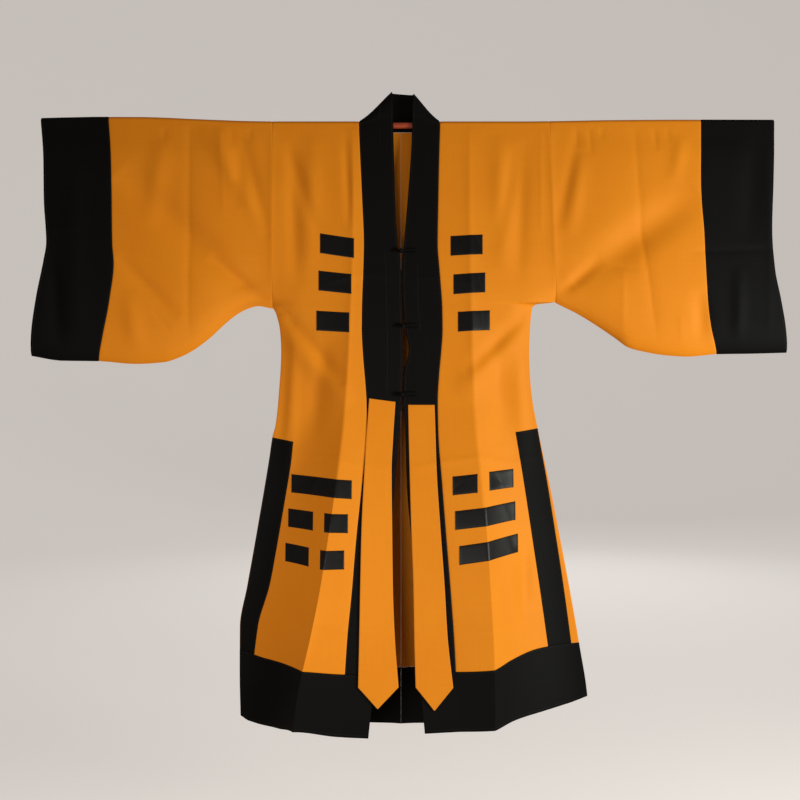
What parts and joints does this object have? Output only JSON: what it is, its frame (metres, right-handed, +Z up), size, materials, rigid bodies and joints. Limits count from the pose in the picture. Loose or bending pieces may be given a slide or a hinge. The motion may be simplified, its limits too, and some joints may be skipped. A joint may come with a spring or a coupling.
{
  "type": "taoist priest robe on a hanging rod",
  "caption": "Front-opening robe with wide sleeves and a crossed-edge neck band, side slits, two hanging ribbons and dark sewn bars, hung on a thin rod through both sleeves.",
  "frame": {"origin": "middle of the rod's axis, in the neck opening", "axes": "+Z up; +X along the rod to the wearer's left; the robe's front faces -Y"},
  "size_m": [1.5082, 0.1361, 1.2651],
  "materials": {
    "yellow_cloth": "plain weave, soft",
    "black_cloth": "plain weave, soft",
    "black_satin": "satin weave, shiny",
    "rod_paint": "painted, satin"
  },
  "bodies": {
    "root": {"rod": "rod_paint", "back_right": "yellow_cloth", "front_right": "yellow_cloth", "sleeve_right": "yellow_cloth", "cuff_right": "black_cloth", "edge_band_right": "black_cloth", "hem_front_right": "black_cloth", "hem_back_right": "black_cloth", "slit_band_front_right": "black_cloth", "slit_band_back_right": "black_cloth", "ribbon_right": "yellow_cloth", "back_left": "yellow_cloth", "front_left": "yellow_cloth", "sleeve_left": "yellow_cloth", "cuff_left": "black_cloth", "edge_band_left": "black_cloth", "hem_front_left": "black_cloth", "hem_back_left": "black_cloth", "slit_band_front_left": "black_cloth", "slit_band_back_left": "black_cloth", "ribbon_left": "yellow_cloth", "collar": "black_cloth", "bar_chest_right_1": "black_satin", "bar_chest_right_2": "black_satin", "bar_chest_right_3": "black_satin", "bar_chest_left_1": "black_satin", "bar_chest_left_2": "black_satin", "bar_chest_left_3": "black_satin", "bar_skirt_right_1": "black_satin", "bar_skirt_right_2_outer": "black_satin", "bar_skirt_right_2_inner": "black_satin", "bar_skirt_right_3_outer": "black_satin", "bar_skirt_right_3_inner": "black_satin", "bar_skirt_left_1_inner": "black_satin", "bar_skirt_left_1_outer": "black_satin", "bar_skirt_left_2": "black_satin", "bar_skirt_left_3": "black_satin", "knot_1": "black_cloth", "loop_1": "black_cloth", "knot_2": "black_cloth", "loop_2": "black_cloth", "knot_3": "black_cloth", "loop_3": "black_cloth"}
  },
  "joints": []
}
